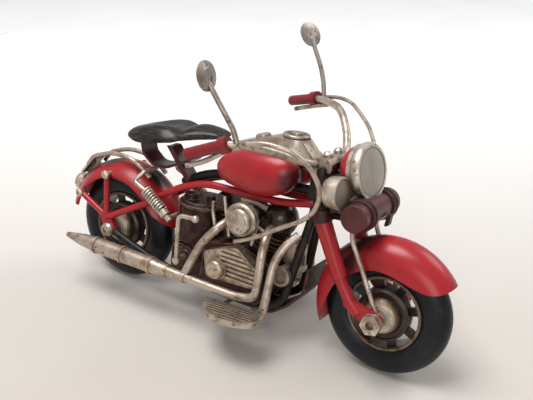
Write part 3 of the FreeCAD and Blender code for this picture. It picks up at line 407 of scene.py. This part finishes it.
def tube(bm, path, radius, sides=12):
    """Round wire along a path, closed at both ends."""
    rings = []
    across = None
    for k, at in enumerate(path):
        along = (path[min(k + 1, len(path) - 1)] - path[max(k - 1, 0)]).normalized()
        across = along.orthogonal() if across is None else across - along * across.dot(along)
        across.normalize()
        third = along.cross(across)
        angles = [2 * math.pi * n / sides for n in range(sides)]
        spots = [at + (across * math.cos(a) + third * math.sin(a)) * radius for a in angles]
        rings.append([bm.verts.new(spot) for spot in spots])
    skin(bm, rings)


def right_wire():
    """Wire from the right lever down to the engine."""
    route = [(16.6, -36.6, 85.4), (25.0, -36.0, 87.0), (33.6, -33.0, 85.2), (38.9, -29.0, 79.9),
             (41.6, -26.0, 72.6), (39.9, -23.6, 65.0), (34.2, -21.0, 58.4), (24.0, -19.4, 51.8),
             (13.0, -18.4, 44.6), (3.5, -16.6, 39.8)]
    bm = bmesh.new()
    tube(bm, smooth_path([bike(*p) for p in route]), WIRE_R)
    piece = mesh_piece("right_wire", bm, SILVER, None, "control_wire_right")
    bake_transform(piece)


def springs():
    """Two coiled springs, one each side."""
    bm = bmesh.new()
    turns, steps = 9, 14
    count = turns * steps
    for side in (-1, 1):
        top, low = bike(-43.4, side * 14.9, 48.6), bike(-34.2, side * 14.9, 42.0)
        along = (low - top).normalized()
        u = along.orthogonal().normalized()
        v = along.cross(u)
        path = []
        for k in range(count + 1):
            a = 2 * math.pi * turns * k / count
            path.append(top.lerp(low, k / count) + (u * math.cos(a) + v * math.sin(a)) * COIL_R)
        tube(bm, path, COIL_WIRE_R, 8)
        tube(bm, [top, low], SPRING_CORE_R)
    mesh_piece("coil_springs", bm, BRIGHT, "chassis", "shock_springs")


def saddle():
    """Pressed tin saddle: two raised lobes at the back, a dip, and a raised nose."""
    # distance ahead, share of the half width, middle height, half thickness
    stations = [(-60.2, 0.30, 69.4, 0.6), (-59.4, 0.62, 69.9, 1.6), (-57.0, 0.82, 70.6, 2.6),
                (-51.5, 1.0, 71.6, 3.4), (-45.0, 1.04, 72.6, 3.8), (-39.0, 0.98, 73.4, 4.0),
                (-34.0, 0.86, 73.9, 4.1), (-29.0, 0.70, 74.3, 4.0), (-24.0, 0.54, 74.8, 3.6),
                (-19.5, 0.44, 75.3, 3.0), (-16.2, 0.34, 75.6, 2.0), (-14.6, 0.18, 75.7, 0.8)]
    ring = 32
    bm = bmesh.new()
    loops = []
    for x, wide, z, half in smooth_path([Vector(s) for s in stations], 4):
        dish = math.exp(-((x + 45) / 9.5) ** 2)
        bump = math.exp(-((x + 25) / 5.5) ** 2)
        valley = math.exp(-((x + 34) / 3.6) ** 2)
        verts = []
        for n in range(ring):
            a = 2 * math.pi * n / ring
            u, w = math.cos(a), math.sin(a)
            y = SADDLE_HALF * wide * math.copysign(abs(u) ** 0.8, u)
            part = abs(y) / SADDLE_HALF
            height = half * abs(w) ** 0.75 * (0.85 if w > 0 else -0.45)
            if w > 0:
                lobes = 1.6 * math.exp(-((part - 0.66) / 0.2) ** 2)
                height += dish * (lobes - 2.3 * math.exp(-(part / 0.34) ** 2))
                height += 0.9 * bump * math.exp(-(part / 0.3) ** 2) - 1.3 * valley
            verts.append(bm.verts.new(bike(x, y, z + height - 3.4 * part ** 2.6)))
        loops.append(verts)
    skin(bm, loops)
    piece = mesh_piece("saddle", bm, SADDLE, "chassis", "seat")
    smooth = piece.modifiers.new("smooth", "SUBSURF")
    smooth.levels = smooth.render_levels = 1


right_wire()
springs()
saddle()


# ---- floor, light and camera
def floor():
    bm = bmesh.new()
    bmesh.ops.create_grid(bm, x_segments=1, y_segments=1, size=6.0)
    data = bpy.data.meshes.new("floor")
    bm.to_mesh(data)
    bm.free()
    plane = bpy.data.objects.new("floor", data)
    bpy.context.scene.collection.objects.link(plane)
    p = Paint("floor_paint")
    cloud = p.noise(14, 5)
    # painted light: the floor painted darker near the camera and paler away from it
    painted_light_away = p.span(p.along(Vector((0, 0, 0)), Vector(PAINTED_LIGHT_AWAY)), -140.0, 420.0)
    colour = p.mix(painted_light_away, (0.50, 0.455, 0.405), (0.95, 0.945, 0.935))
    colour = p.wash(p.span(cloud, 0.35, 0.7), 0.10, colour, (0.66, 0.63, 0.60))
    mark = p.span(p.noise(60, 6, (1, 0.35, 1), 4.0, 0.7), 0.66, 0.72)
    colour = p.wash(mark, 0.30, colour, (0.50, 0.46, 0.43))
    data.materials.append(p.done(colour, 0.55, 0.0, p.noise(220, 4), 0.0002, 0.1))


def lamp(name, at, power, width):
    data = bpy.data.lights.new(name, "AREA")
    data.energy, data.size = power, width
    light = bpy.data.objects.new(name, data)
    light.location = at
    light.rotation_mode = "QUATERNION"
    light.rotation_quaternion = (Vector(AIM) - Vector(at)).to_track_quat("-Z", "Y")
    bpy.context.scene.collection.objects.link(light)


def camera():
    turn, lift, roll = (math.radians(a) for a in (CAMERA_TURN, CAMERA_LIFT, CAMERA_ROLL))
    back = Vector((math.sin(turn) * math.cos(lift), -math.cos(turn) * math.cos(lift), math.sin(lift)))
    right = Vector((math.cos(turn), math.sin(turn), 0))
    up = back.cross(right)
    rows = [right * math.cos(roll) + up * math.sin(roll),
            up * math.cos(roll) - right * math.sin(roll), back]
    axes = [AHEAD * r.x + SIDE * r.y + UP * r.z for r in rows]
    data = bpy.data.cameras.new("camera")
    data.sensor_width, data.lens = 36.0, LENS_MM
    data.clip_start, data.clip_end = 0.01, 50
    data.dof.use_dof = False
    cam = bpy.data.objects.new("camera", data)
    spin = Matrix(axes).transposed().to_4x4()
    cam.matrix_world = Matrix.Translation(bike(*CAMERA_AT)) @ spin
    bpy.context.scene.collection.objects.link(cam)
    bpy.context.scene.camera = cam


floor()
lamp("key", (-0.15, -0.15, 0.85), 7.0, 0.45)
lamp("side", (0.45, -0.85, 0.45), 2.5, 0.5)
lamp("back", (0.45, 0.75, 0.70), 3.0, 0.5)
world = bpy.data.worlds.new("studio")
world.use_nodes = True
sky = world.node_tree.nodes["Background"].inputs
sky["Color"].default_value = (0.97, 0.97, 1.0, 1)
sky["Strength"].default_value = 0.50
bpy.context.scene.world = world
bpy.context.scene.view_settings.view_transform = "Standard"
camera()
